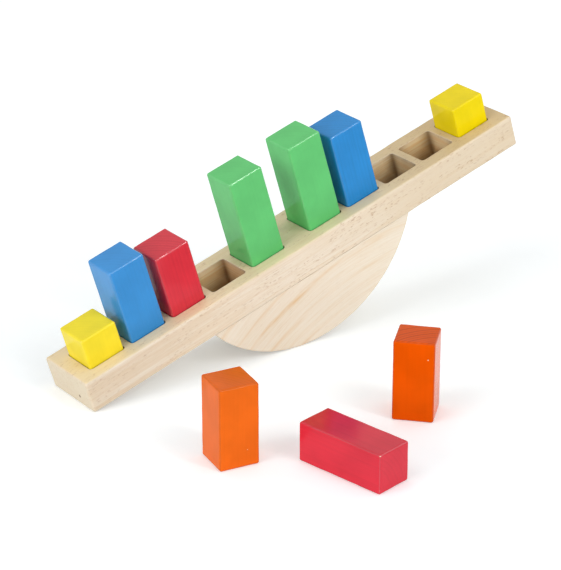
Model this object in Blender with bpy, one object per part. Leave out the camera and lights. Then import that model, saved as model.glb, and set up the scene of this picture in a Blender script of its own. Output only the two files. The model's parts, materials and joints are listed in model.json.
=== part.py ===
"""Wooden balance game: a pocketed beam glued to a round rocker, with painted blocks of five heights.

Units are metres and +Z is up. The table is the plane Z = 0 and +X runs along the beam to its raised end.
The beam rests tilted, with its left end and the rocker on the table. Three blocks lie loose in front.
"""
import math

import bmesh
import bpy
from mathutils import Matrix, Vector

MM = 0.001

# Blocks: square posts, a pair of each colour
BLOCK_SIDE = 28.8 * MM
BLOCK_EDGE = 1.5 * MM
YELLOW_HEIGHT = 45.2 * MM
ORANGE_HEIGHT = 59.5 * MM
RED_HEIGHT = 70.5 * MM
BLUE_HEIGHT = 80.8 * MM
GREEN_HEIGHT = 91.5 * MM

# Beam: one board with a row of square blind pockets on each side of its middle
POCKET_CLEARANCE = 0.5 * MM
POCKET_DEPTH = 22.0 * MM
POCKET_FLOOR = 3.0 * MM
POCKET_WEB = 6.0 * MM
POCKET_CORNER = 2.4 * MM
POCKET_MOUTH = 0.5 * MM
MIDDLE_WEB = 23.1 * MM
SIDE_WALL = 11.6 * MM
END_WALL = 12.35 * MM
BEAM_EDGE = 2.0 * MM

# Rocker: a segment of a round disc, flat side up under the beam
ROCKER_RADIUS = 103.3 * MM
ROCKER_DEPTH = 53.2 * MM
ROCKER_INSET = 1.25 * MM
ROCKER_EDGE = 2.0 * MM

# Dowels: two hidden pegs through the glue joint, in the solid middle of the beam
DOWEL_RADIUS = 4.0 * MM
DOWEL_CLEARANCE = 0.3 * MM
DOWEL_END_GAP = 0.5 * MM
DOWEL_CHAMFER = 0.8 * MM
DOWEL_SPACING = 24.0 * MM
DOWEL_COVER = 12.0 * MM
DOWEL_IN_ROCKER = 18.0 * MM

# Thin joints between pieces that touch
GLUE_GAP = 0.3 * MM
SEAT_GAP = 0.3 * MM

# How far the seated blocks have slid towards the low side of their pockets
SEAT_SLIDE = 0.25 * MM

# What stands in the pockets, from the middle of the beam outwards
LEFT_POCKETS = ("green", None, "red", "blue", "yellow")
RIGHT_POCKETS = ("green", "blue", None, None, "yellow")

# Loose blocks on the table: along X from the rocker's contact line, in front of the beam, and turn about Z
ORANGE_LEFT_ALONG = -137.4 * MM
ORANGE_LEFT_IN_FRONT = 108.8 * MM
ORANGE_LEFT_TURN = math.radians(-9.8)
ORANGE_RIGHT_ALONG = 3.6 * MM
ORANGE_RIGHT_IN_FRONT = 128.8 * MM
ORANGE_RIGHT_TURN = math.radians(-47.9)
RED_LYING_ALONG = -81.5 * MM
RED_LYING_IN_FRONT = 168.8 * MM
RED_LYING_TURN = math.radians(-79.0)

# Fineness of round shapes, in steps
EDGE_STEPS = 3
CORNER_STEPS = 4
MOUTH_STEPS = 2
ARC_STEPS = 72
DOWEL_STEPS = 24
SMOOTH_ANGLE = math.radians(40.0)

# Base colours in linear light, and roughness; nothing here is metal
BARE_WOOD = (0.80, 0.62, 0.38)
DOWEL_WOOD = (0.62, 0.43, 0.24)
WOOD_ROUGHNESS = 0.45
PAINT_ROUGHNESS = 0.35

# Each colour's block height and paint
BLOCKS = {
    "yellow": (YELLOW_HEIGHT, (0.92, 0.72, 0.03)),
    "orange": (ORANGE_HEIGHT, (0.86, 0.16, 0.01)),
    "red": (RED_HEIGHT, (0.65, 0.035, 0.05)),
    "blue": (BLUE_HEIGHT, (0.06, 0.26, 0.62)),
    "green": (GREEN_HEIGHT, (0.14, 0.56, 0.19)),
}

# Sizes that follow from the ones above
pocket_side = BLOCK_SIDE + 2 * POCKET_CLEARANCE
pocket_pitch = pocket_side + POCKET_WEB
first_pocket = (MIDDLE_WEB + pocket_side) / 2
pocket_count = max(len(LEFT_POCKETS), len(RIGHT_POCKETS))
beam_length = 2 * (first_pocket + (pocket_count - 1) * pocket_pitch + pocket_side / 2 + END_WALL)
beam_width = pocket_side + 2 * SIDE_WALL
beam_thickness = POCKET_DEPTH + POCKET_FLOOR
beam_edge = min(BEAM_EDGE, 0.8 * SIDE_WALL, 0.8 * END_WALL, 0.4 * beam_thickness)
pocket_mouth = min(POCKET_MOUTH, 0.4 * POCKET_WEB, 0.4 * POCKET_DEPTH)
rocker_thickness = beam_width - 2 * ROCKER_INSET
axis_over_rocker = ROCKER_RADIUS - ROCKER_DEPTH
axis_over_beam = axis_over_rocker - GLUE_GAP


def pocket_centre(number):
    """Distance of a pocket from the beam's middle, counted outwards from 0."""
    return first_pocket + number * pocket_pitch


def rest_tilt():
    """Angle at which both the rocker and the rounded lower edge of the beam's left end touch the table."""
    across = beam_length / 2 - beam_edge
    below = axis_over_beam - beam_edge
    reach = math.hypot(across, below)
    return math.atan2(across, below) - math.acos((ROCKER_RADIUS - beam_edge) / reach)


def clear_scene():
    for item in list(bpy.data.objects):
        bpy.data.objects.remove(item, do_unlink=True)


def make_material(name, colour, roughness):
    material = bpy.data.materials.new(name)
    material.use_nodes = True
    shader = material.node_tree.nodes["Principled BSDF"]
    shader.inputs["Base Color"].default_value = (*colour, 1.0)
    shader.inputs["Roughness"].default_value = roughness
    shader.inputs["Metallic"].default_value = 0.0
    return material


def finish_mesh(name, shape, material):
    """Turns a closed shape into smooth-shaded mesh data."""
    bmesh.ops.recalc_face_normals(shape, faces=shape.faces[:])
    data = bpy.data.meshes.new(name)
    shape.to_mesh(data)
    shape.free()
    data.materials.append(material)
    data.shade_smooth()
    data.set_sharp_from_angle(angle=SMOOTH_ANGLE)
    return data


def add_empty(name, parent=None):
    empty = bpy.data.objects.new(name, None)
    bpy.context.scene.collection.objects.link(empty)
    empty.parent = parent
    return empty


def add_piece(name, data, parent, location=(0.0, 0.0, 0.0), rotation=(0.0, 0.0, 0.0)):
    piece = bpy.data.objects.new(name, data)
    bpy.context.scene.collection.objects.link(piece)
    piece.parent = parent
    piece.location = location
    piece.rotation_euler = rotation
    return piece


def rounded_box(length, width, height, edge):
    """A box that stands on the XY plane, centred over the origin, with every edge rounded."""
    shape = bmesh.new()
    bmesh.ops.create_cube(shape, size=1.0)
    bmesh.ops.scale(shape, vec=(length, width, height), verts=shape.verts)
    bmesh.ops.translate(shape, vec=(0.0, 0.0, height / 2), verts=shape.verts)
    bmesh.ops.bevel(shape, geom=shape.edges[:], offset=edge, segments=EDGE_STEPS, profile=0.5, affect="EDGES")
    return shape


def rounded_square(half, corner, centre, height):
    """Points of a level square with round corners, anticlockwise."""
    points = []
    for quarter in range(4):
        for step in range(CORNER_STEPS + 1):
            angle = (quarter + step / CORNER_STEPS) * math.pi / 2
            swing = Vector((math.cos(angle), math.sin(angle), 0.0)) * corner
            diagonal = Matrix.Rotation(quarter * math.pi / 2, 3, "Z") @ Vector((1.0, 1.0, 0.0))
            points.append(Vector((*centre, height)) + diagonal * (half - corner) + swing)
    return points


def circle(radius, centre, height):
    angles = [2 * math.pi * step / DOWEL_STEPS for step in range(DOWEL_STEPS)]
    return [Vector((centre[0] + radius * math.cos(a), centre[1] + radius * math.sin(a), height)) for a in angles]


def face_height(face):
    return face.calc_center_median().z


def highest_face(shape):
    return max(shape.faces, key=face_height)


def add_blind_hole(shape, rings):
    """Lines a hole with walls through the rings, mouth first, and a floor. Returns the edges of its mouth."""
    loops = [[shape.verts.new(point) for point in ring] for ring in rings]
    count = len(loops[0])
    for upper, lower in zip(loops, loops[1:]):
        for here in range(count):
            after = (here + 1) % count
            shape.faces.new((upper[here], upper[after], lower[after], lower[here]))
    shape.faces.new(loops[-1])
    mouth = loops[0]
    return [shape.edges.get((mouth[here], mouth[(here + 1) % count])) for here in range(count)]


def open_face(shape, face, holes):
    """Replaces a flat face by one that leaves the mouths of the given holes open."""
    border = list(face.edges)
    shape.faces.remove(face)
    mouths = [edge for rings in holes for edge in add_blind_hole(shape, rings)]
    bmesh.ops.triangle_fill(shape, use_beauty=True, edges=border + mouths)


def pocket_rings(along):
    """Rings of one pocket of the beam, from its rounded mouth down to its floor."""
    rings = []
    for step in range(MOUTH_STEPS + 1):
        angle = step / MOUTH_STEPS * math.pi / 2
        flare = pocket_mouth * (1 - math.sin(angle))
        drop = pocket_mouth * (1 - math.cos(angle))
        corner = min(POCKET_CORNER, 0.4 * pocket_side) + flare
        rings.append(rounded_square(pocket_side / 2 + flare, corner, (along, 0.0), beam_thickness - drop))
    corner = min(POCKET_CORNER, 0.4 * pocket_side)
    rings.append(rounded_square(pocket_side / 2, corner, (along, 0.0), POCKET_FLOOR))
    return rings


def dowel_places():
    return {"dowel_front": (0.0, -DOWEL_SPACING / 2), "dowel_rear": (0.0, DOWEL_SPACING / 2)}


def dowel_hole(centre, mouth, floor):
    radius = DOWEL_RADIUS + DOWEL_CLEARANCE
    return [circle(radius, centre, mouth), circle(radius, centre, floor)]


def beam_shape():
    """The board with its underside on the XY plane, its pockets above and the dowel holes below."""
    shape = rounded_box(beam_length, beam_width, beam_thickness, beam_edge)
    bottom = min(shape.faces, key=face_height)
    pockets = [pocket_rings(-pocket_centre(number)) for number in range(len(LEFT_POCKETS))]
    pockets += [pocket_rings(pocket_centre(number)) for number in range(len(RIGHT_POCKETS))]
    open_face(shape, highest_face(shape), pockets)
    hole_top = beam_thickness - DOWEL_COVER + DOWEL_END_GAP
    open_face(shape, bottom, [dowel_hole(centre, 0.0, hole_top) for centre in dowel_places().values()])
    return shape


def rocker_shape():
    """The segment with the axis of its arc on the Y axis and its flat top below that axis."""
    half_angle = math.acos(axis_over_rocker / ROCKER_RADIUS)
    shape = bmesh.new()
    outline = []
    for step in range(ARC_STEPS + 1):
        angle = half_angle * (2 * step / ARC_STEPS - 1)
        point = (ROCKER_RADIUS * math.sin(angle), -rocker_thickness / 2, -ROCKER_RADIUS * math.cos(angle))
        outline.append(shape.verts.new(point))
    front = shape.faces.new(outline)
    grown = bmesh.ops.extrude_face_region(shape, geom=[front])["geom"]
    back = [item for item in grown if isinstance(item, bmesh.types.BMVert)]
    bmesh.ops.translate(shape, vec=(0.0, rocker_thickness, 0.0), verts=back)
    top = highest_face(shape)
    sides = [face for face in shape.faces if len(face.verts) == len(outline)]
    rims = [edge for face in sides for edge in face.edges if top not in edge.link_faces]
    edge_width = min(ROCKER_EDGE, 0.4 * rocker_thickness)
    bmesh.ops.bevel(shape, geom=rims, offset=edge_width, segments=EDGE_STEPS, profile=0.5, affect="EDGES")
    hole_floor = -axis_over_rocker - DOWEL_IN_ROCKER - DOWEL_END_GAP
    holes = [dowel_hole(centre, -axis_over_rocker, hole_floor) for centre in dowel_places().values()]
    open_face(shape, highest_face(shape), holes)
    return shape


def dowel_shape(length):
    """A peg that stands on the XY plane, with chamfered ends."""
    shape = bmesh.new()
    bmesh.ops.create_cone(
        shape, cap_ends=True, segments=DOWEL_STEPS, radius1=DOWEL_RADIUS, radius2=DOWEL_RADIUS, depth=length
    )
    bmesh.ops.translate(shape, vec=(0.0, 0.0, length / 2), verts=shape.verts)
    caps = [face for face in shape.faces if len(face.verts) == DOWEL_STEPS]
    rims = [edge for face in caps for edge in face.edges]
    chamfer = min(DOWEL_CHAMFER, 0.4 * DOWEL_RADIUS)
    bmesh.ops.bevel(shape, geom=rims, offset=chamfer, segments=1, profile=0.5, affect="EDGES")
    return shape


def build_see_saw(pivot):
    """Beam, rocker and dowels, placed from the rocker's axis."""
    beam_wood = make_material("beam_wood", BARE_WOOD, WOOD_ROUGHNESS)
    rocker_wood = make_material("rocker_wood", BARE_WOOD, WOOD_ROUGHNESS)
    peg_wood = make_material("dowel_wood", DOWEL_WOOD, WOOD_ROUGHNESS)
    add_piece("beam", finish_mesh("beam", beam_shape(), beam_wood), pivot, (0.0, 0.0, -axis_over_beam))
    add_piece("rocker", finish_mesh("rocker", rocker_shape(), rocker_wood), pivot)
    dowel_length = DOWEL_IN_ROCKER + GLUE_GAP + beam_thickness - DOWEL_COVER
    dowel_data = finish_mesh("dowel", dowel_shape(dowel_length), peg_wood)
    for name, centre in dowel_places().items():
        add_piece(name, dowel_data, pivot, (*centre, -axis_over_rocker - DOWEL_IN_ROCKER))


def make_block_data():
    """One mesh for each colour, standing on its base."""
    blocks = {}
    for colour, (height, paint) in BLOCKS.items():
        material = make_material(f"{colour}_paint", paint, PAINT_ROUGHNESS)
        edge = min(BLOCK_EDGE, 0.2 * BLOCK_SIDE, 0.2 * height)
        shape = rounded_box(BLOCK_SIDE, BLOCK_SIDE, height, edge)
        blocks[colour] = finish_mesh(f"{colour}_block", shape, material)
    return blocks


def seat_blocks(pivot, blocks):
    """Stands the blocks in their pockets, each with its origin on the axis that it lifts out along."""
    seat = -axis_over_beam + POCKET_FLOOR + SEAT_GAP
    slide = min(SEAT_SLIDE, 0.6 * POCKET_CLEARANCE)
    for side, sign, row in (("left", -1, LEFT_POCKETS), ("right", 1, RIGHT_POCKETS)):
        for number, colour in enumerate(row):
            if colour:
                place = (sign * pocket_centre(number) - slide, 0.0, seat)
                add_piece(f"{colour}_block_{side}", blocks[colour], pivot, place)


def lay_loose_blocks(toy_set, blocks):
    """Two orange blocks stand on the table in front of the beam, and a red one lies on its side."""
    beam_front = -beam_width / 2
    standing = (
        ("left", ORANGE_LEFT_ALONG, ORANGE_LEFT_IN_FRONT, ORANGE_LEFT_TURN),
        ("right", ORANGE_RIGHT_ALONG, ORANGE_RIGHT_IN_FRONT, ORANGE_RIGHT_TURN),
    )
    for side, along, in_front, turn in standing:
        place = (along, beam_front - in_front, 0.0)
        add_piece(f"orange_block_{side}", blocks["orange"], toy_set, place, (0.0, 0.0, turn))
    middle = Vector((RED_LYING_ALONG, beam_front - RED_LYING_IN_FRONT, BLOCK_SIDE / 2))
    lengthwise = Vector((math.cos(RED_LYING_TURN), math.sin(RED_LYING_TURN), 0.0))
    base = middle - RED_HEIGHT / 2 * lengthwise
    add_piece("red_block_lying", blocks["red"], toy_set, base, (0.0, math.pi / 2, RED_LYING_TURN))


def centre_over_origin(toy_set):
    """Moves the set along the table until the origin lies under the middle of its outline."""
    bpy.context.view_layer.update()
    pieces = [item for item in toy_set.children_recursive if item.type == "MESH"]
    points = [piece.matrix_world @ vertex.co for piece in pieces for vertex in piece.data.vertices]
    for axis in (0, 1):
        reach = [point[axis] for point in points]
        toy_set.location[axis] -= (min(reach) + max(reach)) / 2
    bpy.context.view_layer.update()


def main():
    clear_scene()
    toy_set = add_empty("toy_set")
    pivot = add_empty("see_saw_pivot", toy_set)
    pivot.location.z = ROCKER_RADIUS
    pivot.rotation_euler.y = -rest_tilt()
    build_see_saw(pivot)
    blocks = make_block_data()
    seat_blocks(pivot, blocks)
    lay_loose_blocks(toy_set, blocks)
    centre_over_origin(toy_set)


main()
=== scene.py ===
"""Looks of the wooden balance game: board, rocker and blocks modelled again with soft, uneven edges.

Units are metres, and millimetres inside the materials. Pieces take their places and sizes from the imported
solids that they stand for.
"""
import itertools
import json
import math

import bmesh
import bpy
from mathutils import Matrix, Vector, geometry, noise


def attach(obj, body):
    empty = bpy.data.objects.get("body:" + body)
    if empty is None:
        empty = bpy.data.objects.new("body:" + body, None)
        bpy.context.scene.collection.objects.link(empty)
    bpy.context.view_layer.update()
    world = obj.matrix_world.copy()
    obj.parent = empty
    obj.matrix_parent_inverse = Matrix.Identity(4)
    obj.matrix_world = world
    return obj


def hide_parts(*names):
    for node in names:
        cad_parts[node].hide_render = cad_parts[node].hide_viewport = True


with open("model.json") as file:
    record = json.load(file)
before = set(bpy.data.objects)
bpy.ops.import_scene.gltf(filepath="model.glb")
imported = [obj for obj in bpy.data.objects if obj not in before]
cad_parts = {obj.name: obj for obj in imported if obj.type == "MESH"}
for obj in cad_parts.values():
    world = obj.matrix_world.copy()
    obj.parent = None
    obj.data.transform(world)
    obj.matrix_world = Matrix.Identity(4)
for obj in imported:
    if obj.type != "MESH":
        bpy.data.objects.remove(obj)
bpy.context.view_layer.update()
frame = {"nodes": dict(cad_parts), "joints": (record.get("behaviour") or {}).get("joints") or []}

MM = 0.001
WHITE = (1.0, 1.0, 1.0, 1.0)
BLACK = (0.0, 0.0, 0.0, 1.0)
DOWELS = ("dowel_front", "dowel_rear")

# Camera: the photograph's view, in an image of 561 by 570 pixels
CAMERA_AZIMUTH = math.radians(-36.1811)
CAMERA_ELEVATION = math.radians(24.3523)
CAMERA_DISTANCE = 1886.0 * MM
CAMERA_AIM = Vector((42.6, 172.4, 0.48)) * MM
CAMERA_LENS = 155.873
CAMERA_SENSOR = 36.0
CAMERA_REACH = 100.0

# Light: a bright room, soft lamps above, at the left, at the right and in front, wide low ones at the left
# and in front, and a tall strip that glints on the upper edges of the blocks, with angles in degrees
ROOM_LIGHT = 0.42
LAMPS = {
    "overhead": {"azimuth": 165.0, "elevation": 72.0, "width": 6.0, "height": 6.0, "watts": 105.0},
    "high_left": {"azimuth": -88.0, "elevation": 58.0, "width": 5.0, "height": 5.0, "watts": 140.0},
    "left": {"azimuth": -92.0, "elevation": 20.0, "width": 8.0, "height": 5.0, "watts": 490.0},
    "low_left": {"azimuth": -62.0, "elevation": 8.0, "width": 10.0, "height": 3.0, "watts": 160.0},
    "low_front": {"azimuth": 5.0, "elevation": 9.0, "width": 14.0, "height": 3.0, "watts": 455.0},
    "front_right": {"azimuth": 12.0, "elevation": 38.0, "width": 6.0, "height": 6.0, "watts": 160.0},
    "strip": {"azimuth": 17.5, "elevation": 50.0, "width": 0.5, "height": 7.0, "watts": 150.0},
    "right": {"azimuth": 80.0, "elevation": 35.0, "width": 6.0, "height": 5.0, "watts": 105.0},
}
LAMP_DISTANCE = 12.0
FLOOR_SIDE = 60.0
FLOOR_COLOUR = (0.91, 0.95, 0.965, 1.0)
FLOOR_WHITENING = 0.24

# Edges: their radii, how much they vary along their length, and the fineness of the meshes
BLOCK_EDGE = 1.5 * MM
BEAM_EDGE = 2.0 * MM
ROCKER_EDGE = 1.2 * MM
EDGE_VARIATION = 0.22
EDGE_WAVE = 9.0 * MM
EDGE_STEPS = 6
BLOCK_GRID = 2.0 * MM
BEAM_GRID = 4.0 * MM
FACE_HOLLOW = 0.06 * MM
FACE_WAVE = 11.0 * MM
BEAM_SEED = Vector((3.0, 5.0, 7.0))
BLOCK_SEED = Vector((1.7, 2.9, 4.1))
ARC_STEPS = 160
SHARP_ANGLE = math.radians(35.0)

# Meshes: how near two places have to be to count as one, how alike the normals of two sides that meet in an
# edge may be, and the way to fill a sheet inside its border alone
FLAT_TOLERANCE = 0.001 * MM
POCKET_TOLERANCE = 0.01 * MM
SHEET_TOLERANCE_IN_MM = 1e-5
ALIKE_NORMALS = 0.5
FILL_INSIDE = 1

# Beam: pockets, the shade in their corners and round seated blocks, and dowel holes
POCKETS_A_SIDE = 5
POCKET_CLEARANCE = 0.5 * MM
POCKET_FLOOR = 3.0 * MM
POCKET_CORNER = 2.4 * MM
POCKET_MOUTH = 0.5 * MM
POCKET_SHADE = 5.5 * MM
CORNER_SHADE = 0.6
DEPTH_AT_MOUTH = 0.15
SEAT_SHADE_REACH = 0.8 * POCKET_MOUTH
SEAT_SHADE_DROP = 0.05 * MM
WALL_STOPS = (-9.0 * MM, -5.0 * MM, 0.0, 5.0 * MM, 9.0 * MM)
WALL_STEPS = 4
CORNER_STEPS = 6
MOUTH_STEPS = 3
DOWEL_CLEARANCE = 0.3 * MM
JOINT_LINE = 0.15 * MM
DOWEL_STEPS = 32

# A pin knot in the beam's left end: place across and above the underside, half sizes and depth, the shares
# of the half sizes and of the depth at each ring, and the shares of the depth between which it is dark
KNOT_ACROSS = -11.0 * MM
KNOT_HEIGHT = 8.2 * MM
KNOT_HALF_WIDTH = 0.95 * MM
KNOT_HALF_HEIGHT = 1.5 * MM
KNOT_DEPTH = 0.9 * MM
KNOT_PROFILE = ((1.0, 0.0), (0.75, 0.5), (0.4, 1.0))
KNOT_DARK = (0.1, 1.1)
KNOT_STEPS = 20

# Bare wood: colours in linear light, gloss and relief of the lacquered surface
BEAM_TONES = {
    "pale": (0.825, 0.737, 0.608, 1.0),
    "streak": (0.765, 0.646, 0.487, 1.0),
    "late_wood": (0.720, 0.545, 0.345, 1.0),
    "patch": (0.800, 0.640, 0.440, 1.0),
    "band": (0.700, 0.515, 0.325, 1.0),
    # darker tan towards the ends, kept lighter at the left end as painted light
    "outer": (0.685, 0.545, 0.370, 1.0),
    "top": (0.890, 0.710, 0.400, 1.0),
    "raised_top": (0.560, 0.400, 0.195, 1.0),
    "end": (0.725, 0.620, 0.455, 1.0),
    "fleck": (0.500, 0.320, 0.180, 1.0),
    # pocket walls: a warm sawn tone, lightened as painted light for the little light that reaches inside
    "pocket": (0.900, 0.620, 0.290, 1.0),
    "pale_pocket": (0.960, 0.775, 0.460, 1.0),
    # painted shade in the corners and depths of the pockets
    "painted_pocket_shade": (0.150, 0.066, 0.012, 1.0),
    "knot": (0.120, 0.060, 0.025, 1.0),
    # painted shade round the feet of the seated blocks
    "seat": (0.100, 0.055, 0.025, 1.0),
}
ROCKER_TONES = {
    "pale": (0.840, 0.748, 0.615, 1.0),
    "streak": (0.805, 0.687, 0.528, 1.0),
    "late_wood": (0.740, 0.560, 0.360, 1.0),
    "amber": (0.735, 0.490, 0.240, 1.0),
    "pore": (0.520, 0.360, 0.210, 1.0),
}
DOWEL_TONES = {
    "pale": (0.640, 0.450, 0.260, 1.0),
    "streak": (0.540, 0.350, 0.180, 1.0),
    "late_wood": (0.480, 0.290, 0.140, 1.0),
    "pore": (0.330, 0.180, 0.080, 1.0),
}
WOOD_GLOSS = 0.35
WOOD_ROUGHNESS = 0.46
DOWEL_ROUGHNESS = 0.55
WOOD_RELIEF = 0.12 * MM
WOOD_RELIEF_STRENGTH = 0.7

# Grain of the rocker: its climb across the disc, how much that bends, and its streaks, each with the height
# of its middle, half width and strength, in millimetres from the hinge axis. The streaks waver, and they lie
# higher towards the back. Their heights hold a little in front of the disc's middle.
ROCKER_CLIMB = 0.17
ROCKER_BEND = 0.00225
STREAKS = (
    (-94.0, 2.6, 0.45),
    (-86.0, 1.8, 0.20),
    (-74.0, 3.0, 0.42),
    (-66.0, 1.6, 0.20),
    (-56.5, 2.8, 0.85),
    (-43.0, 2.4, 0.38),
    (-24.0, 3.5, 0.50),
)
STREAK_LOW = -110.0
STREAK_HIGH = -10.0
STREAK_WAVER = 6.0
STREAK_SLANT = 0.35
STREAK_FRONT = 25.0

# Paints in linear light, and how much darker they are where the grain below shows and on the edges
PAINTS = {
    "yellow": (0.900, 0.735, 0.012),
    "orange": (0.800, 0.140, 0.011),
    "red": (0.670, 0.025, 0.047),
    "blue": (0.041, 0.272, 0.642),
    "green": (0.122, 0.548, 0.168),
}
OWN_PAINTS = {
    "orange_block_right": (0.760, 0.090, 0.001),
    "yellow_block_left": (0.918, 0.744, 0.032),
    "yellow_block_right": (0.850, 0.670, 0.002),
    "blue_block_right": (0.020, 0.246, 0.615),
    "red_block_left": (0.675, 0.036, 0.055),
}
GRAIN_TONE = 0.72
EDGE_TONE = 0.45
GRAIN_SHOWING = {"yellow": 0.05, "orange": 0.08, "red": 0.10, "blue": 0.12, "green": 0.06}
OWN_GRAIN_SHOWING = {"red_block_left": 0.28, "red_block_lying": 0.18, "blue_block_right": 0.28}
END_GRAIN_SHOWING = 0.05
OWN_END_GRAIN_SHOWING = {"orange_block_right": 0.90, "orange_block_left": 0.15, "red_block_left": 0.20}
LATE_WOOD_SHARE = 0.8
EDGE_DARKENING = {"yellow": 0.05, "orange": 0.40, "red": 0.35, "blue": 0.12, "green": 0.08}
EDGE_RUBBING = 0.20
WOOD_UNDER_PAINT = (0.78, 0.60, 0.38, 1.0)

# Gloss of the paint: its level, tint and roughness, the coat that glints on the edges alone, and the relief
GLOSS = {"yellow": 0.16, "orange": 0.08, "red": 0.20, "blue": 0.20, "green": 0.16}
GLOSS_TINTS = {
    "yellow": (1.0, 0.85, 0.30, 1.0),
    "orange": (1.0, 0.60, 0.15, 1.0),
    "red": (1.0, 0.90, 0.95, 1.0),
    "blue": (0.85, 0.95, 1.0, 1.0),
    "green": (0.90, 1.0, 0.92, 1.0),
}
PAINT_ROUGHNESS = (0.09, 0.15)
EDGE_COAT = {"yellow": 0.35, "orange": 0.20, "red": 0.80, "blue": 0.80, "green": 0.90}
EDGE_COAT_ROUGHNESS = 0.12
EDGE_COAT_IOR = 1.7
PAINT_RELIEF = 0.02 * MM
PAINT_RELIEF_STRENGTH = 0.4

# Grain of the blocks, in millimetres: each is cut from another place of one plank, a step on from the last,
# and the pith lies beside it
GRAIN_STEP = 37.0
GRAIN_STEP_SHARES = (1.0, 0.3, 0.7)
BLOCK_PITH = (41.0, 27.0)

# Small chips in the paint, in millimetres from the middle of the block, with their radius
CHIPS = {
    "orange_block_left": ((5.5, -14.4, -17.3), 0.28),
    "orange_block_right": ((-14.4, -9.8, 17.7), 0.45),
    "red_block_lying": ((-13.9, 13.9, 34.8), 0.45),
}

# Sockets of a mix node for colours, by number, because its sockets for other data have the same names
MIX_FACTOR, MIX_FIRST, MIX_SECOND, MIX_RESULT = 0, 6, 7, 2


class Shading:
    """The node tree of one material, with short ways to add nodes to it."""

    def __init__(self, name):
        self.material = bpy.data.materials.new(name)
        self.material.use_nodes = True
        self.tree = self.material.node_tree
        self.shader = self.tree.nodes["Principled BSDF"]

    def feed(self, socket, value):
        """Links a socket to another node's output, or sets the socket's own value."""
        if isinstance(value, bpy.types.NodeSocket):
            self.tree.links.new(value, socket)
        else:
            socket.default_value = value

    def finish(self, name, value):
        """Feeds one of the shader's own sockets."""
        self.feed(self.shader.inputs[name], value)

    def add(self, kind, inputs, output=0, **settings):
        """Adds a node, sets or links its inputs and returns one output."""
        node = self.tree.nodes.new(kind)
        for key, value in settings.items():
            setattr(node, key, value)
        for key, value in inputs.items():
            self.feed(node.inputs[key], value)
        return node.outputs[output]

    def math(self, operation, first, second=0.0):
        return self.add("ShaderNodeMath", {0: first, 1: second}, operation=operation)

    def plus(self, first, second):
        return self.math("ADD", first, second)

    def minus(self, first, second):
        return self.math("SUBTRACT", first, second)

    def times(self, first, second):
        return self.math("MULTIPLY", first, second)

    def size(self, value):
        return self.math("ABSOLUTE", value)

    def scaled(self, vector, factors):
        return self.add("ShaderNodeVectorMath", {0: vector, 1: factors}, operation="MULTIPLY")

    def moved(self, vector, offset):
        return self.add("ShaderNodeVectorMath", {0: vector, 1: offset}, operation="ADD")

    def length(self, vector):
        return self.add("ShaderNodeVectorMath", {0: vector}, output="Value", operation="LENGTH")

    def axes(self, vector):
        node = self.tree.nodes.new("ShaderNodeSeparateXYZ")
        self.feed(node.inputs[0], vector)
        return node.outputs[0], node.outputs[1], node.outputs[2]

    def joined(self, x, y, z):
        return self.add("ShaderNodeCombineXYZ", {0: x, 1: y, 2: z})

    def noise(self, vector, scale, detail, roughness=0.5):
        inputs = {"Vector": vector, "Scale": scale, "Detail": detail, "Roughness": roughness}
        return self.add("ShaderNodeTexNoise", inputs)

    def figure(self, place, scales, detail, roughness=0.5):
        """Noise with a scale of its own along each axis."""
        return self.noise(self.scaled(place, scales), 1.0, detail, roughness)

    def step(self, value, low, high, start=0.0, end=1.0):
        """A smooth step from start to end while the value goes from low to high."""
        inputs = {"Value": value, "From Min": low, "From Max": high, "To Min": start, "To Max": end}
        return self.add("ShaderNodeMapRange", inputs, interpolation_type="SMOOTHSTEP")

    def mix(self, factor, first, second):
        inputs = {MIX_FACTOR: factor, MIX_FIRST: first, MIX_SECOND: second}
        return self.add("ShaderNodeMix", inputs, output=MIX_RESULT, data_type="RGBA")

    def tint(self, colour, tone, mask, strength):
        """The colour, mixed towards a tone by a strength where the mask is 1."""
        return self.mix(self.times(mask, strength), colour, tone)

    def attribute(self, name):
        return self.add("ShaderNodeAttribute", {}, output="Fac", attribute_name=name)

    def millimetres(self):
        """The place on the piece in its own axes, in millimetres."""
        return self.scaled(self.add("ShaderNodeTexCoord", {}, output="Object"), (1.0 / MM,) * 3)

    def facing(self):
        """The three parts of the surface's direction in the piece's own axes."""
        return self.axes(self.add("ShaderNodeTexCoord", {}, output="Normal"))

    def bump(self, height, distance, strength):
        inputs = {"Height": height, "Distance": distance, "Strength": strength}
        return self.add("ShaderNodeBump", inputs)


def grain_fields(look, place, pith, ring_width, wander):
    """Late wood of the year rings and fibres of a plank whose grain runs along X, each from 0 to 1.

    The pith is given as the place of the plank's origin seen from it, and wander is how far the rings stray.
    """
    drift = look.minus(look.figure(place, (0.006, 0.03, 0.03), 2.0), 0.5)
    from_pith = look.length(look.scaled(look.moved(place, pith), (0.0, 1.0, 1.0)))
    rings = look.math("DIVIDE", look.plus(from_pith, look.times(drift, wander)), ring_width)
    year = look.math("FLOOR", rings)
    season = look.math("FRACT", rings)
    growth = look.times(look.step(season, 0.25, 0.90), look.step(season, 0.92, 1.00, 1.0, 0.0))
    weight = look.add("ShaderNodeTexWhiteNoise", {"W": year}, noise_dimensions="1D")
    late = look.times(growth, look.step(weight, 0.0, 1.0, 0.25, 1.0))
    fibres = look.figure(place, (0.035, 1.1, 1.1), 5.0, 0.62)
    return late, fibres


def pore_field(look, place):
    """Pores of a plank whose grain runs along X, from 0 to 1."""
    return look.step(look.figure(place, (0.16, 1.9, 1.9), 1.0), 0.62, 0.74)


def wood_finish(look, colour, height, roughness=WOOD_ROUGHNESS):
    """Clear satin lacquer over wood of the given colour and relief."""
    look.finish("Base Color", colour)
    look.finish("Roughness", roughness)
    look.finish("Specular IOR Level", WOOD_GLOSS)
    look.finish("Normal", look.bump(height, WOOD_RELIEF, WOOD_RELIEF_STRENGTH))
    return look.material


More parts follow.
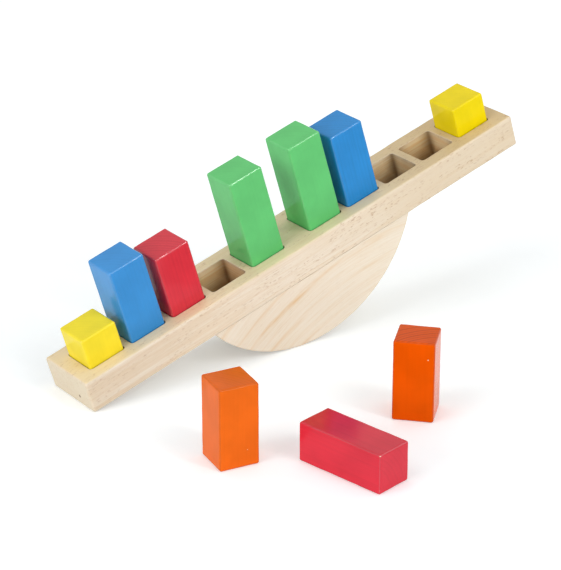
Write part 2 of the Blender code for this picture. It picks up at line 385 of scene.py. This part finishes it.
def pocket_colour(look, place, colour):
    """The colour, with painted light on the warm sawn walls inside the pockets and painted shade in their
    corners and depths.
    """
    depth = look.attribute("depth")
    saw_marks = look.step(look.figure(place, (0.03, 0.03, 1.0), 3.0), 0.40, 0.62)
    # painted light: the walls take a warm sawn tone lighter than the light in the pockets makes them
    walls = look.mix(saw_marks, BEAM_TONES["pocket"], BEAM_TONES["pale_pocket"])
    colour = look.tint(colour, walls, look.step(depth, 0.0, 0.35), 0.80)
    # painted shade: darker in the pockets' upright corners and towards their floors
    in_corners = look.times(look.attribute("corner"), look.step(depth, 0.0, 0.7, 0.70, 0.88))
    painted_pocket_shade = look.math("MAXIMUM", in_corners, look.step(depth, 0.45, 1.05, 0.0, 0.66))
    return look.tint(colour, BEAM_TONES["painted_pocket_shade"], painted_pocket_shade, 0.92)


def beam_wood():
    """Pale board: faint streaks and short dark flecks along the beam, a yellower top and brown pockets."""
    look = Shading("beam_wood_finish")
    place = look.millimetres()
    along = look.axes(place)[0]
    facing = look.facing()
    late, fibres = grain_fields(look, place, pith=(0.0, -38.0, 62.0), ring_width=4.2, wander=7.0)
    colour = look.mix(look.step(fibres, 0.38, 0.70), BEAM_TONES["pale"], BEAM_TONES["streak"])
    colour = look.tint(colour, BEAM_TONES["late_wood"], late, 0.28)
    patches = look.step(look.figure(place, (0.012, 0.09, 0.09), 3.0), 0.42, 0.72)
    colour = look.tint(colour, BEAM_TONES["patch"], patches, 0.28)
    bands = look.step(look.figure(place, (0.008, 0.32, 0.32), 3.0), 0.45, 0.66)
    colour = look.tint(colour, BEAM_TONES["band"], bands, 0.38)
    # darker tan towards both ends, centred left of the middle: the left end, which gets less light, stays
    # lighter than the right, partly painted light
    outward = look.step(look.size(look.plus(along, 65.0)), 70.0, 190.0)
    colour = look.tint(colour, BEAM_TONES["outer"], outward, 0.60)
    top = look.step(facing[2], 0.72, 0.98)
    colour = look.tint(colour, BEAM_TONES["top"], top, 0.55)
    raised = look.times(top, look.step(along, 20.0, 150.0, 0.0, 0.60))
    colour = look.mix(raised, colour, BEAM_TONES["raised_top"])
    end = look.step(look.size(facing[0]), 0.6, 0.95)
    colour = look.tint(colour, BEAM_TONES["end"], end, 0.50)
    flecks = look.step(look.figure(place, (0.34, 1.0, 1.0), 3.0), 0.53, 0.70)
    crowd = look.step(look.figure(place, (0.030, 0.20, 0.20), 3.0), 0.42, 0.62, 0.10, 1.0)
    dark = look.times(look.times(flecks, crowd), look.step(along, -60.0, 60.0, 0.50, 0.80))
    colour = look.mix(dark, colour, BEAM_TONES["fleck"])
    colour = pocket_colour(look, place, colour)
    colour = look.mix(look.attribute("knot"), colour, BEAM_TONES["knot"])
    # painted shade round the feet of the seated blocks
    colour = look.tint(colour, BEAM_TONES["seat"], look.attribute("seat"), 0.75)
    relief = look.minus(fibres, look.times(flecks, 0.6))
    return wood_finish(look, colour, relief)


def amber_streaks(look, level):
    """Strength of the amber streaks at a level across the grain."""
    share = look.add("ShaderNodeMapRange", {"Value": level, "From Min": STREAK_LOW, "From Max": STREAK_HIGH})
    ramp = look.tree.nodes.new("ShaderNodeValToRGB")
    look.feed(ramp.inputs[0], share)
    stops = ramp.color_ramp.elements
    for stop in stops:
        stop.color = BLACK
    for middle, half_width, strength in STREAKS:
        for reach, value in ((-1.0, 0.0), (0.0, strength), (1.0, 0.0)):
            place = (middle + reach * half_width - STREAK_LOW) / (STREAK_HIGH - STREAK_LOW)
            stops.new(place).color = (value, value, value, 1.0)
    return ramp.outputs[0]


def rocker_wood(axes):
    """Pale disc whose grain climbs across it in an easy curve, with a few broad amber streaks."""
    look = Shading("rocker_wood_finish")
    hinge = axes.translation / MM
    tilted = {"Vector": look.millimetres(), "Center": hinge, "Angle": axes.to_euler().y}
    level = look.add("ShaderNodeVectorRotate", tilted, rotation_type="Y_AXIS", invert=True)
    x, y, z = look.axes(look.moved(level, -hinge))
    bend = look.times(look.times(x, x), ROCKER_BEND)
    across = look.plus(look.minus(z, look.times(x, ROCKER_CLIMB)), bend)
    grain = look.joined(x, y, across)
    late, fibres = grain_fields(look, grain, pith=(0.0, -70.0, 30.0), ring_width=5.6, wander=6.0)
    pores = pore_field(look, grain)
    colour = look.mix(look.step(fibres, 0.40, 0.68), ROCKER_TONES["pale"], ROCKER_TONES["streak"])
    colour = look.tint(colour, ROCKER_TONES["late_wood"], late, 0.08)
    waver = look.minus(look.figure(grain, (0.03, 0.03, 0.12), 3.0), 0.5)
    wavy = look.plus(across, look.times(waver, STREAK_WAVER))
    slant = look.times(look.plus(y, STREAK_FRONT), STREAK_SLANT)
    amber = amber_streaks(look, look.minus(wavy, slant))
    fade = look.step(look.figure(grain, (0.035, 0.05, 0.2), 3.0), 0.36, 0.62, 0.25, 1.0)
    fade = look.times(fade, look.step(x, -30.0, 15.0, 1.20, 0.55))
    colour = look.mix(look.times(amber, fade), colour, ROCKER_TONES["amber"])
    colour = look.tint(colour, ROCKER_TONES["pore"], pores, 0.22)
    relief = look.minus(fibres, look.times(pores, 0.5))
    return wood_finish(look, colour, relief)


def dowel_wood():
    """Plain beech: short dark flecks along the peg."""
    look = Shading("dowel_wood_finish")
    upright = {"Vector": look.millimetres(), "Angle": math.pi / 2}
    place = look.add("ShaderNodeVectorRotate", upright, rotation_type="Y_AXIS")
    late, fibres = grain_fields(look, place, pith=(0.0, 12.0, 8.0), ring_width=1.6, wander=3.0)
    colour = look.mix(look.step(fibres, 0.35, 0.70), DOWEL_TONES["pale"], DOWEL_TONES["streak"])
    colour = look.tint(colour, DOWEL_TONES["late_wood"], late, 0.4)
    colour = look.tint(colour, DOWEL_TONES["pore"], pore_field(look, place), 0.5)
    return wood_finish(look, colour, fibres, DOWEL_ROUGHNESS)


def chip_mask(look, own, centre, radius):
    """1 on a small ragged chip, else 0."""
    ragged = look.times(look.noise(own, 1.6, 2.0), 0.5 * radius)
    away = look.length(look.moved(own, tuple(-part for part in centre)))
    return look.step(look.plus(away, ragged), radius, 1.5 * radius, 1.0, 0.0)


def paint(name, colour_name, number):
    """Satin enamel on one block: grain shows through, and rubbed edges and some chips show the wood."""
    colour = OWN_PAINTS.get(name, PAINTS[colour_name])
    full = (*colour, 1.0)
    thin = (*(GRAIN_TONE * part for part in colour), 1.0)
    dark = (*(EDGE_TONE * part for part in colour), 1.0)
    look = Shading(f"{name}_paint")
    own = look.millimetres()
    edge = look.attribute("edge")
    x, y, z = look.axes(own)
    shift = GRAIN_STEP * number
    offset = tuple(share * shift for share in GRAIN_STEP_SHARES)
    place = look.moved(look.joined(z, x, y), offset)
    pith = (0.0, BLOCK_PITH[0] - offset[1], BLOCK_PITH[1] - offset[2])
    late, fibres = grain_fields(look, place, pith, ring_width=3.0, wander=4.0)
    showing = OWN_GRAIN_SHOWING.get(name, GRAIN_SHOWING[colour_name])
    end_showing = OWN_END_GRAIN_SHOWING.get(name, END_GRAIN_SHOWING)
    rings = look.times(late, LATE_WOOD_SHARE * showing)
    grain = look.plus(rings, look.step(fibres, 0.45, 0.75, 0.0, showing))
    end = look.step(look.size(look.facing()[2]), 0.6, 0.95)
    grain = look.plus(grain, look.times(look.times(late, end), end_showing))
    brightness = look.step(look.noise(own, 0.05, 2.0), 0.3, 0.7, 0.95, 1.05)
    inputs = {"Value": brightness, "Color": look.mix(grain, full, thin)}
    colour = look.add("ShaderNodeHueSaturation", inputs)
    colour = look.tint(colour, dark, edge, EDGE_DARKENING[colour_name])
    rubbed = look.times(edge, look.step(look.noise(own, 0.22, 3.0, 0.6), 0.60, 0.82))
    colour = look.tint(colour, WOOD_UNDER_PAINT, rubbed, EDGE_RUBBING)
    relief = look.minus(look.times(grain, 0.6), look.times(pore_field(look, place), 0.4))
    if name in CHIPS:
        chip = chip_mask(look, own, *CHIPS[name])
        colour = look.mix(chip, colour, WOOD_UNDER_PAINT)
        relief = look.minus(relief, chip)
    look.finish("Base Color", colour)
    look.finish("Roughness", look.step(fibres, 0.3, 0.7, *PAINT_ROUGHNESS))
    look.finish("Specular IOR Level", GLOSS[colour_name])
    look.finish("Specular Tint", GLOSS_TINTS[colour_name])
    look.finish("Coat Weight", look.step(edge, 0.2, 0.8, 0.0, EDGE_COAT[colour_name]))
    look.finish("Coat Roughness", EDGE_COAT_ROUGHNESS)
    look.finish("Coat IOR", EDGE_COAT_IOR)
    look.finish("Normal", look.bump(relief, PAINT_RELIEF, PAINT_RELIEF_STRENGTH))
    return look.material


def grid_lines(half, radius, pitch):
    """Places of a box's grid lines along one axis, closer together round its edges."""
    flat = half - radius
    turns = [step * math.pi / 4 / EDGE_STEPS for step in range(EDGE_STEPS + 1)]
    bend = [flat + radius * math.tan(turn) for turn in turns]
    count = max(2, round(2 * flat / pitch))
    middle = [2 * flat * step / count - flat for step in range(1, count)]
    return [-place for place in reversed(bend)] + middle + bend


def soft_point(point, half, edge, seed, hollow):
    """Where a point of a box's surface lies on its rounded form, and how much it lies on an edge."""
    radius = edge * (1 + EDGE_VARIATION * noise.noise(point / EDGE_WAVE + seed))
    core = Vector(max(-h + radius, min(h - radius, p)) for p, h in zip(point, half))
    normal = (point - core).normalized()
    wave = 0.5 + 0.5 * noise.noise(point / FACE_WAVE - seed)
    on_edge = min(1.0, (1.0 - max(abs(part) for part in normal)) / (1.0 - math.sqrt(0.5)))
    return core + normal * (radius - hollow * wave), on_edge


def soft_box(size, edge, pitch, seed, hollow):
    """A box centred on the origin with rounded, slightly uneven edges, which are stored as a layer."""
    half = Vector(size) / 2
    widest = edge * (1 + EDGE_VARIATION)
    lines = [grid_lines(side, widest, pitch) for side in half]
    last = [len(line) - 1 for line in lines]
    shape = bmesh.new()
    edge_layer = shape.verts.layers.float.new("edge")
    made = {}

    def vertex(index):
        if index not in made:
            point = Vector(line[place] for line, place in zip(lines, index))
            place, on_edge = soft_point(point, half, edge, seed, hollow)
            made[index] = shape.verts.new(place)
            made[index][edge_layer] = on_edge
        return made[index]

    for axis in range(3):
        first, second = (axis + 1) % 3, (axis + 2) % 3
        cells = itertools.product((0, last[axis]), range(last[first]), range(last[second]))
        for level, a, b in cells:
            ring = []
            for step_a, step_b in ((0, 0), (1, 0), (1, 1), (0, 1)):
                spot = {axis: level, first: a + step_a, second: b + step_b}
                ring.append(vertex((spot[0], spot[1], spot[2])))
            shape.faces.new(ring)
    return shape


def add_hole(shape, rings):
    """Lines a blind hole with walls along its rings, mouth first, and a floor. Returns the mouth's edges."""
    loops = [[shape.verts.new(point) for point in ring] for ring in rings]
    count = len(loops[0])
    for upper, lower in zip(loops, loops[1:]):
        for here in range(count):
            after = (here + 1) % count
            shape.faces.new((upper[here], upper[after], lower[after], lower[here]))
    shape.faces.new(loops[-1])
    mouth = loops[0]
    return [shape.edges.get((mouth[here], mouth[(here + 1) % count])) for here in range(count)]


def fill_sheet(shape, border, mouths):
    """Fills the flat sheet between a border and the mouths of the holes in it with triangles."""
    rings = [border] + mouths
    corners = list({vertex for ring in rings for edge in ring for vertex in edge.verts})
    corners.sort(key=lambda vertex: tuple(vertex.co))
    number = {vertex: place for place, vertex in enumerate(corners)}
    reach = [max(v.co[axis] for v in corners) - min(v.co[axis] for v in corners) for axis in range(3)]
    flat = sorted(range(3), key=lambda axis: -reach[axis])[:2]
    points = [Vector((vertex.co[flat[0]], vertex.co[flat[1]])) / MM for vertex in corners]
    fixed = [(number[edge.verts[0]], number[edge.verts[1]]) for ring in rings for edge in ring]
    filled = geometry.delaunay_2d_cdt(points, fixed, [], FILL_INSIDE, SHEET_TOLERANCE_IN_MM, False)
    triangles = filled[2]
    holes = [{number[vertex] for edge in mouth for vertex in edge.verts} for mouth in mouths]
    for triangle in triangles:
        if not any(hole.issuperset(triangle) for hole in holes):
            shape.faces.new([corners[place] for place in triangle])


def open_side(shape, faces, holes):
    """Replaces flat faces by one sheet that leaves the mouths of the given holes open."""
    flat = set(faces)
    border = [edge for face in faces for edge in face.edges if sum(f in flat for f in edge.link_faces) == 1]
    inner = {edge for face in faces for edge in face.edges} - set(border)
    bmesh.ops.delete(shape, geom=faces, context="FACES_ONLY")
    bmesh.ops.delete(shape, geom=list(inner), context="EDGES")
    loose = [vertex for vertex in shape.verts if not vertex.link_edges]
    bmesh.ops.delete(shape, geom=loose, context="VERTS")
    fill_sheet(shape, border, [add_hole(shape, rings) for rings in holes])


def flat_faces(shape, axis, sign, half):
    """Faces of the flat part of one side of the beam's soft box, up to where its edges may begin to bend."""
    bend = BEAM_EDGE * (1 + EDGE_VARIATION)
    reach = Vector(side - bend + FLAT_TOLERANCE for side in half)
    reach[axis] = half[axis] + FLAT_TOLERANCE
    level = sign * half[axis]
    found = []
    for face in shape.faces:
        flat = all(abs(vertex.co[axis] - level) < FLAT_TOLERANCE for vertex in face.verts)
        inside = all(abs(vertex.co[other]) < reach[other] for vertex in face.verts for other in range(3))
        if flat and inside:
            found.append(face)
    return found


def rounded_square(half, corner, centre, height):
    """Points of a level square with round corners, and a few along each side."""
    points = []
    for quarter in range(4):
        turn = Matrix.Rotation(quarter * math.pi / 2, 3, "Z")
        side = [Vector((half, stop, 0.0)) for stop in WALL_STOPS]
        for step in range(CORNER_STEPS + 1):
            angle = step / CORNER_STEPS * math.pi / 2
            swing = Vector((math.cos(angle), math.sin(angle), 0.0)) * corner
            side.append(Vector((half - corner, half - corner, 0.0)) + swing)
        points += [Vector((*centre, height)) + turn @ point for point in side]
    return points


def full_turn(steps):
    """Angles of a full turn in even steps."""
    return [2 * math.pi * step / steps for step in range(steps)]


def circle(radius, centre, height):
    """Points of a level circle."""
    x, y = centre
    turn = full_turn(DOWEL_STEPS)
    return [Vector((x + radius * math.cos(a), y + radius * math.sin(a), height)) for a in turn]


def pocket_rings(along, half, top, floor):
    """Rings of one pocket from its rounded mouth to its floor."""
    rings = []
    for step in range(MOUTH_STEPS + 1):
        angle = step / MOUTH_STEPS * math.pi / 2
        flare = POCKET_MOUTH * (1 - math.sin(angle))
        drop = POCKET_MOUTH * (1 - math.cos(angle))
        rings.append(rounded_square(half + flare, POCKET_CORNER + flare, (along, 0.0), top - drop))
    wall = top - POCKET_MOUTH - floor
    for step in range(1, WALL_STEPS + 1):
        height = floor + wall * (1 - step / WALL_STEPS)
        rings.append(rounded_square(half, POCKET_CORNER, (along, 0.0), height))
    return rings


def knot_rings(end, height):
    """Ovals of the pin knot from its mouth in the beam's end to its floor."""
    turn = full_turn(KNOT_STEPS)
    rings = []
    for share, depth in KNOT_PROFILE:
        x = end + depth * KNOT_DEPTH
        wide = share * KNOT_HALF_WIDTH
        tall = share * KNOT_HALF_HEIGHT
        ring = [Vector((x, KNOT_ACROSS + wide * math.cos(a), height + tall * math.sin(a))) for a in turn]
        rings.append(ring)
    return rings


def local_box(node, matrix):
    """Lowest and highest corner of a solid, in the axes of a matrix."""
    inverse = matrix.inverted()
    points = [inverse @ vertex.co for vertex in frame["nodes"][node].data.vertices]
    low = Vector(min(point[axis] for point in points) for axis in range(3))
    high = Vector(max(point[axis] for point in points) for axis in range(3))
    return low, high


def find_joint(name):
    return next(joint for joint in frame["joints"] if joint["name"] == name)


def block_nodes():
    return sorted(node for node in frame["nodes"] if "_block_" in node)


def see_saw_axes():
    """Matrix of the tilted see-saw: origin on its hinge, X along the beam, Z out of the pockets."""
    hinge = find_joint("see_saw_rock")
    across = Vector(hinge["axis"])
    lift = Vector(find_joint("green_block_left_lift")["axis"]).normalized()
    along = across.cross(lift)
    matrix = Matrix((along, across, lift)).transposed().to_4x4()
    matrix.translation = hinge["pos_m"]
    return matrix


def block_axes(node):
    """Matrix and size of a block: origin in its middle, Z along its longest side, up or to the front."""
    mesh = frame["nodes"][node].data
    faces = sorted(mesh.polygons, key=lambda face: -face.area)
    first = faces[0].normal.copy()
    second = next(face.normal.copy() for face in faces if abs(face.normal.dot(first)) < ALIKE_NORMALS)
    axes = [first, second, first.cross(second).normalized()]
    reach = []
    for axis in axes:
        along = [vertex.co.dot(axis) for vertex in mesh.vertices]
        reach.append((min(along), max(along)))
    grain = max(range(3), key=lambda number: reach[number][1] - reach[number][0])
    side = min((number for number in range(3) if number != grain), key=lambda number: -abs(axes[number].x))
    middle = sum((axis * (low + high) / 2 for axis, (low, high) in zip(axes, reach)), Vector())
    z = axes[grain] if axes[grain].z - axes[grain].y > 0 else -axes[grain]
    x = axes[side] if axes[side].x > 0 else -axes[side]
    matrix = Matrix((x, z.cross(x), z)).transposed().to_4x4()
    matrix.translation = middle
    low, high = local_box(node, matrix)
    return matrix, high - low


def peg_hole(node, matrix, mouth, upwards):
    """Rings of the hole round a dowel, from its mouth's height to a little past one end of the dowel."""
    low, high = local_box(node, matrix)
    centre = ((low.x + high.x) / 2, (low.y + high.y) / 2)
    radius = (high.x - low.x) / 2 + DOWEL_CLEARANCE
    end = high.z + DOWEL_CLEARANCE if upwards else low.z - DOWEL_CLEARANCE
    return [circle(radius, centre, mouth), circle(radius, centre, end)]


def add_piece(name, shape, matrix, material, node, body):
    """Turns a shape into a shown piece that stands for a solid and moves with its body."""
    bmesh.ops.recalc_face_normals(shape, faces=shape.faces[:])
    data = bpy.data.meshes.new(name)
    shape.to_mesh(data)
    shape.free()
    data.materials.append(material)
    data.shade_smooth()
    data.set_sharp_from_angle(angle=SHARP_ANGLE)
    piece = bpy.data.objects.new(name, data)
    bpy.context.scene.collection.objects.link(piece)
    piece.matrix_world = matrix
    normals = piece.modifiers.new("even_normals", "WEIGHTED_NORMAL")
    normals.keep_sharp = True
    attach(piece, body)
    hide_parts(node)


def pocket_layout(axes):
    """Middles of the pockets along the beam and half their width, from blocks in first and third pockets."""
    first_low, first_high = local_box("green_block_left", axes)
    third_low = local_box("red_block_left", axes)[0]
    other_low = local_box("green_block_right", axes)[0]
    first = (other_low.x - first_low.x) / 2
    pitch = (first_low.x - third_low.x) / 2
    half = (first_high.x - first_low.x) / 2 + POCKET_CLEARANCE
    centres = [side * (first + number * pitch) for side in (-1, 1) for number in range(POCKETS_A_SIDE)]
    return centres, half


def mark_pockets(shape, centres, half, top, floor):
    """Stores how deep in a pocket each vertex lies, and how near an upright corner of the pocket's wall."""
    depth_layer = shape.verts.layers.float.new("depth")
    corner_layer = shape.verts.layers.float.new("corner")
    wall = top - POCKET_MOUTH - floor
    for vertex in shape.verts:
        below = top - POCKET_MOUTH - vertex.co.z
        along = min(abs(vertex.co.x - centre) for centre in centres)
        across = abs(vertex.co.y)
        beside_wall = -POCKET_TOLERANCE < below < wall + POCKET_TOLERANCE
        if beside_wall and max(along, across) < half + POCKET_TOLERANCE:
            vertex[depth_layer] = DEPTH_AT_MOUTH + (1.0 - DEPTH_AT_MOUTH) * max(0.0, below) / wall
            from_corner = half - min(along, across) - POCKET_CORNER
            if from_corner > 0.0:
                vertex[corner_layer] = CORNER_SHADE * max(0.0, 1.0 - from_corner / POCKET_SHADE)
            else:
                vertex[corner_layer] = min(1.0, CORNER_SHADE * (1.0 - from_corner / POCKET_CORNER))


def is_seat(centre, axes):
    """Whether a block sits in the pocket at a place along the beam."""
    for node in block_nodes():
        low, high = local_box(node, axes)
        if low.x < centre < high.x and low.y < 0.0 < high.y:
            return True
    return False


def mark_seats(shape, centres, half, top):
    """Stores the shade round the mouths of the pockets in which blocks sit."""
    seat_layer = shape.verts.layers.float.new("seat")
    for vertex in shape.verts:
        reach = max(min(abs(vertex.co.x - centre) for centre in centres), abs(vertex.co.y))
        if vertex.co.z < top - SEAT_SHADE_DROP and reach < half + SEAT_SHADE_REACH:
            vertex[seat_layer] = 1.0


def mark_knot(shape, end, height):
    """Stores which vertices lie inside the pin knot."""
    knot_layer = shape.verts.layers.float.new("knot")
    nearest, furthest = (share * KNOT_DEPTH for share in KNOT_DARK)
    for vertex in shape.verts:
        away = math.hypot(vertex.co.y - KNOT_ACROSS, vertex.co.z - height)
        if away < KNOT_HALF_HEIGHT and nearest < vertex.co.x - end < furthest:
            vertex[knot_layer] = 1.0


def build_beam(axes):
    """The board, with pockets in its top, dowel holes in its underside and a pin knot in its left end."""
    low, high = local_box("beam", axes)
    place = axes @ Matrix.Translation((0.0, 0.0, (low.z + high.z) / 2))
    size = high - low
    top, bottom = size.z / 2, -size.z / 2
    floor = bottom + POCKET_FLOOR
    end = -size.x / 2
    knot_height = bottom + KNOT_HEIGHT
    centres, half = pocket_layout(axes)
    shape = soft_box(size, BEAM_EDGE, BEAM_GRID, BEAM_SEED, 0.0)
    pockets = [pocket_rings(centre, half, top, floor) for centre in centres]
    open_side(shape, flat_faces(shape, 2, 1, size / 2), pockets)
    dowel_holes = [peg_hole(node, place, bottom, upwards=True) for node in DOWELS]
    open_side(shape, flat_faces(shape, 2, -1, size / 2), dowel_holes)
    open_side(shape, flat_faces(shape, 0, -1, size / 2), [knot_rings(end, knot_height)])
    mark_pockets(shape, centres, half, top, floor)
    mark_seats(shape, [centre for centre in centres if is_seat(centre, axes)], half, top)
    mark_knot(shape, end, knot_height)
    add_piece("beam_board", shape, place, beam_wood(), "beam", "see_saw")


def rocker_rings(radius, top, half_thickness):
    """Outlines of the rocker from its front face to its back, with rounded rims along the arc."""
    turns = [step * math.pi / 2 / EDGE_STEPS for step in range(EDGE_STEPS + 1)]
    profile = [(1 - math.sin(turn), 1 - math.cos(turn)) for turn in turns]
    levels = [(inset, -half_thickness, depth) for inset, depth in profile]
    levels += [(inset, half_thickness, -depth) for inset, depth in reversed(profile)]
    rings = []
    for inset, face, depth in levels:
        ring = []
        for step in range(ARC_STEPS + 1):
            share = 2 * step / ARC_STEPS - 1
            place = Vector((share * radius, face, 0.0))
            rim = ROCKER_EDGE * (1 + EDGE_VARIATION * noise.noise(place / EDGE_WAVE))
            reach = radius - inset * rim
            angle = share * math.acos(-top / reach)
            ring.append(Vector((reach * math.sin(angle), face + depth * rim, -reach * math.cos(angle))))
        rings.append(ring)
    return rings


def build_rocker(axes):
    """The segment of a disc under the board, with dowel holes in its flat top."""
    low, high = local_box("rocker", axes)
    top = local_box("beam", axes)[0].z - JOINT_LINE
    rings = rocker_rings(-low.z, top, (high.y - low.y) / 2)
    shape = bmesh.new()
    loops = [[shape.verts.new(point) for point in ring] for ring in rings]
    pairs = list(zip(loops, loops[1:]))
    shape.faces.new(loops[0])
    shape.faces.new(loops[-1])
    for front, back in pairs:
        for here in range(ARC_STEPS):
            shape.faces.new((front[here], front[here + 1], back[here + 1], back[here]))
    border = [shape.edges.get((front[end], back[end])) for end in (0, -1) for front, back in pairs]
    border += [shape.edges.get((loop[0], loop[-1])) for loop in (loops[0], loops[-1])]
    mouths = [add_hole(shape, peg_hole(node, axes, top, upwards=False)) for node in DOWELS]
    fill_sheet(shape, border, mouths)
    bmesh.ops.transform(shape, matrix=axes, verts=shape.verts)
    add_piece("rocker_segment", shape, Matrix(), rocker_wood(axes), "rocker", "see_saw")


def build_blocks():
    """Every block: its body has its node's name, and its name starts with its colour."""
    for number, node in enumerate(block_nodes()):
        colour = node.split("_")[0]
        matrix, size = block_axes(node)
        shape = soft_box(size, BLOCK_EDGE, BLOCK_GRID, BLOCK_SEED * number, FACE_HOLLOW)
        material = paint(node, colour, number)
        add_piece(f"{node}_painted", shape, matrix, material, node, node)


def finish_dowels():
    """The dowels keep their solids and get a finish."""
    material = dowel_wood()
    for node in DOWELS:
        data = frame["nodes"][node].data
        data.materials.clear()
        data.materials.append(material)


def aimed_from(azimuth, elevation, distance, aim):
    """Matrix of something that looks at a point from a direction."""
    level = math.cos(elevation)
    back = Vector((math.sin(azimuth) * level, -math.cos(azimuth) * level, math.sin(elevation)))
    matrix = back.to_track_quat("Z", "Y").to_matrix().to_4x4()
    matrix.translation = aim + back * distance
    return matrix


def seen_directly(tree):
    """1 for what the camera sees straight or in gloss and glass, else 0."""
    path = tree.nodes.new("ShaderNodeLightPath")
    total = path.outputs["Is Camera Ray"]
    for name in ("Is Glossy Ray", "Is Transmission Ray"):
        node = tree.nodes.new("ShaderNodeMath")
        node.operation = "MAXIMUM"
        tree.links.new(total, node.inputs[0])
        tree.links.new(path.outputs[name], node.inputs[1])
        total = node.outputs[0]
    return total


def add_floor():
    """A wide pale sheet, whitened for the eye only, so that it keeps the shadows."""
    shape = bmesh.new()
    bmesh.ops.create_grid(shape, x_segments=1, y_segments=1, size=FLOOR_SIDE / 2)
    data = bpy.data.meshes.new("floor")
    shape.to_mesh(data)
    shape.free()
    material = bpy.data.materials.new("floor_white")
    material.use_nodes = True
    tree = material.node_tree
    shader = tree.nodes["Principled BSDF"]
    shader.inputs["Base Color"].default_value = FLOOR_COLOUR
    shader.inputs["Roughness"].default_value = 1.0
    shader.inputs["Specular IOR Level"].default_value = 0.0
    shader.inputs["Emission Color"].default_value = WHITE
    strength = tree.nodes.new("ShaderNodeMath")
    strength.operation = "MULTIPLY"
    strength.inputs[1].default_value = FLOOR_WHITENING
    tree.links.new(seen_directly(tree), strength.inputs[0])
    tree.links.new(strength.outputs[0], shader.inputs["Emission Strength"])
    data.materials.append(material)
    floor = bpy.data.objects.new("floor", data)
    bpy.context.scene.collection.objects.link(floor)


def add_room():
    """Even light from all round, behind a white backdrop."""
    world = bpy.data.worlds.new("room")
    world.use_nodes = True
    tree = world.node_tree
    background = tree.nodes["Background"]
    background.inputs["Color"].default_value = WHITE
    strength = tree.nodes.new("ShaderNodeMapRange")
    strength.inputs["To Min"].default_value = ROOM_LIGHT
    strength.inputs["To Max"].default_value = 1.0
    tree.links.new(seen_directly(tree), strength.inputs["Value"])
    tree.links.new(strength.outputs[0], background.inputs["Strength"])
    bpy.context.scene.world = world


def add_lamps():
    """Soft lamps at one distance, all aimed at the origin."""
    for name, lamp in LAMPS.items():
        data = bpy.data.lights.new(name, "AREA")
        data.shape = "RECTANGLE"
        data.size = lamp["width"]
        data.size_y = lamp["height"]
        data.energy = lamp["watts"]
        piece = bpy.data.objects.new(name, data)
        bpy.context.scene.collection.objects.link(piece)
        azimuth = math.radians(lamp["azimuth"])
        elevation = math.radians(lamp["elevation"])
        piece.matrix_world = aimed_from(azimuth, elevation, LAMP_DISTANCE, Vector())


def add_camera():
    data = bpy.data.cameras.new("camera")
    data.lens = CAMERA_LENS
    data.sensor_width = CAMERA_SENSOR
    data.clip_end = CAMERA_REACH
    camera = bpy.data.objects.new("camera", data)
    bpy.context.scene.collection.objects.link(camera)
    camera.matrix_world = aimed_from(CAMERA_AZIMUTH, CAMERA_ELEVATION, CAMERA_DISTANCE, CAMERA_AIM)
    bpy.context.scene.camera = camera


see_saw = see_saw_axes()
build_beam(see_saw)
build_rocker(see_saw)
build_blocks()
finish_dowels()
add_floor()
add_room()
add_lamps()
add_camera()
bpy.context.scene.view_settings.view_transform = "Standard"
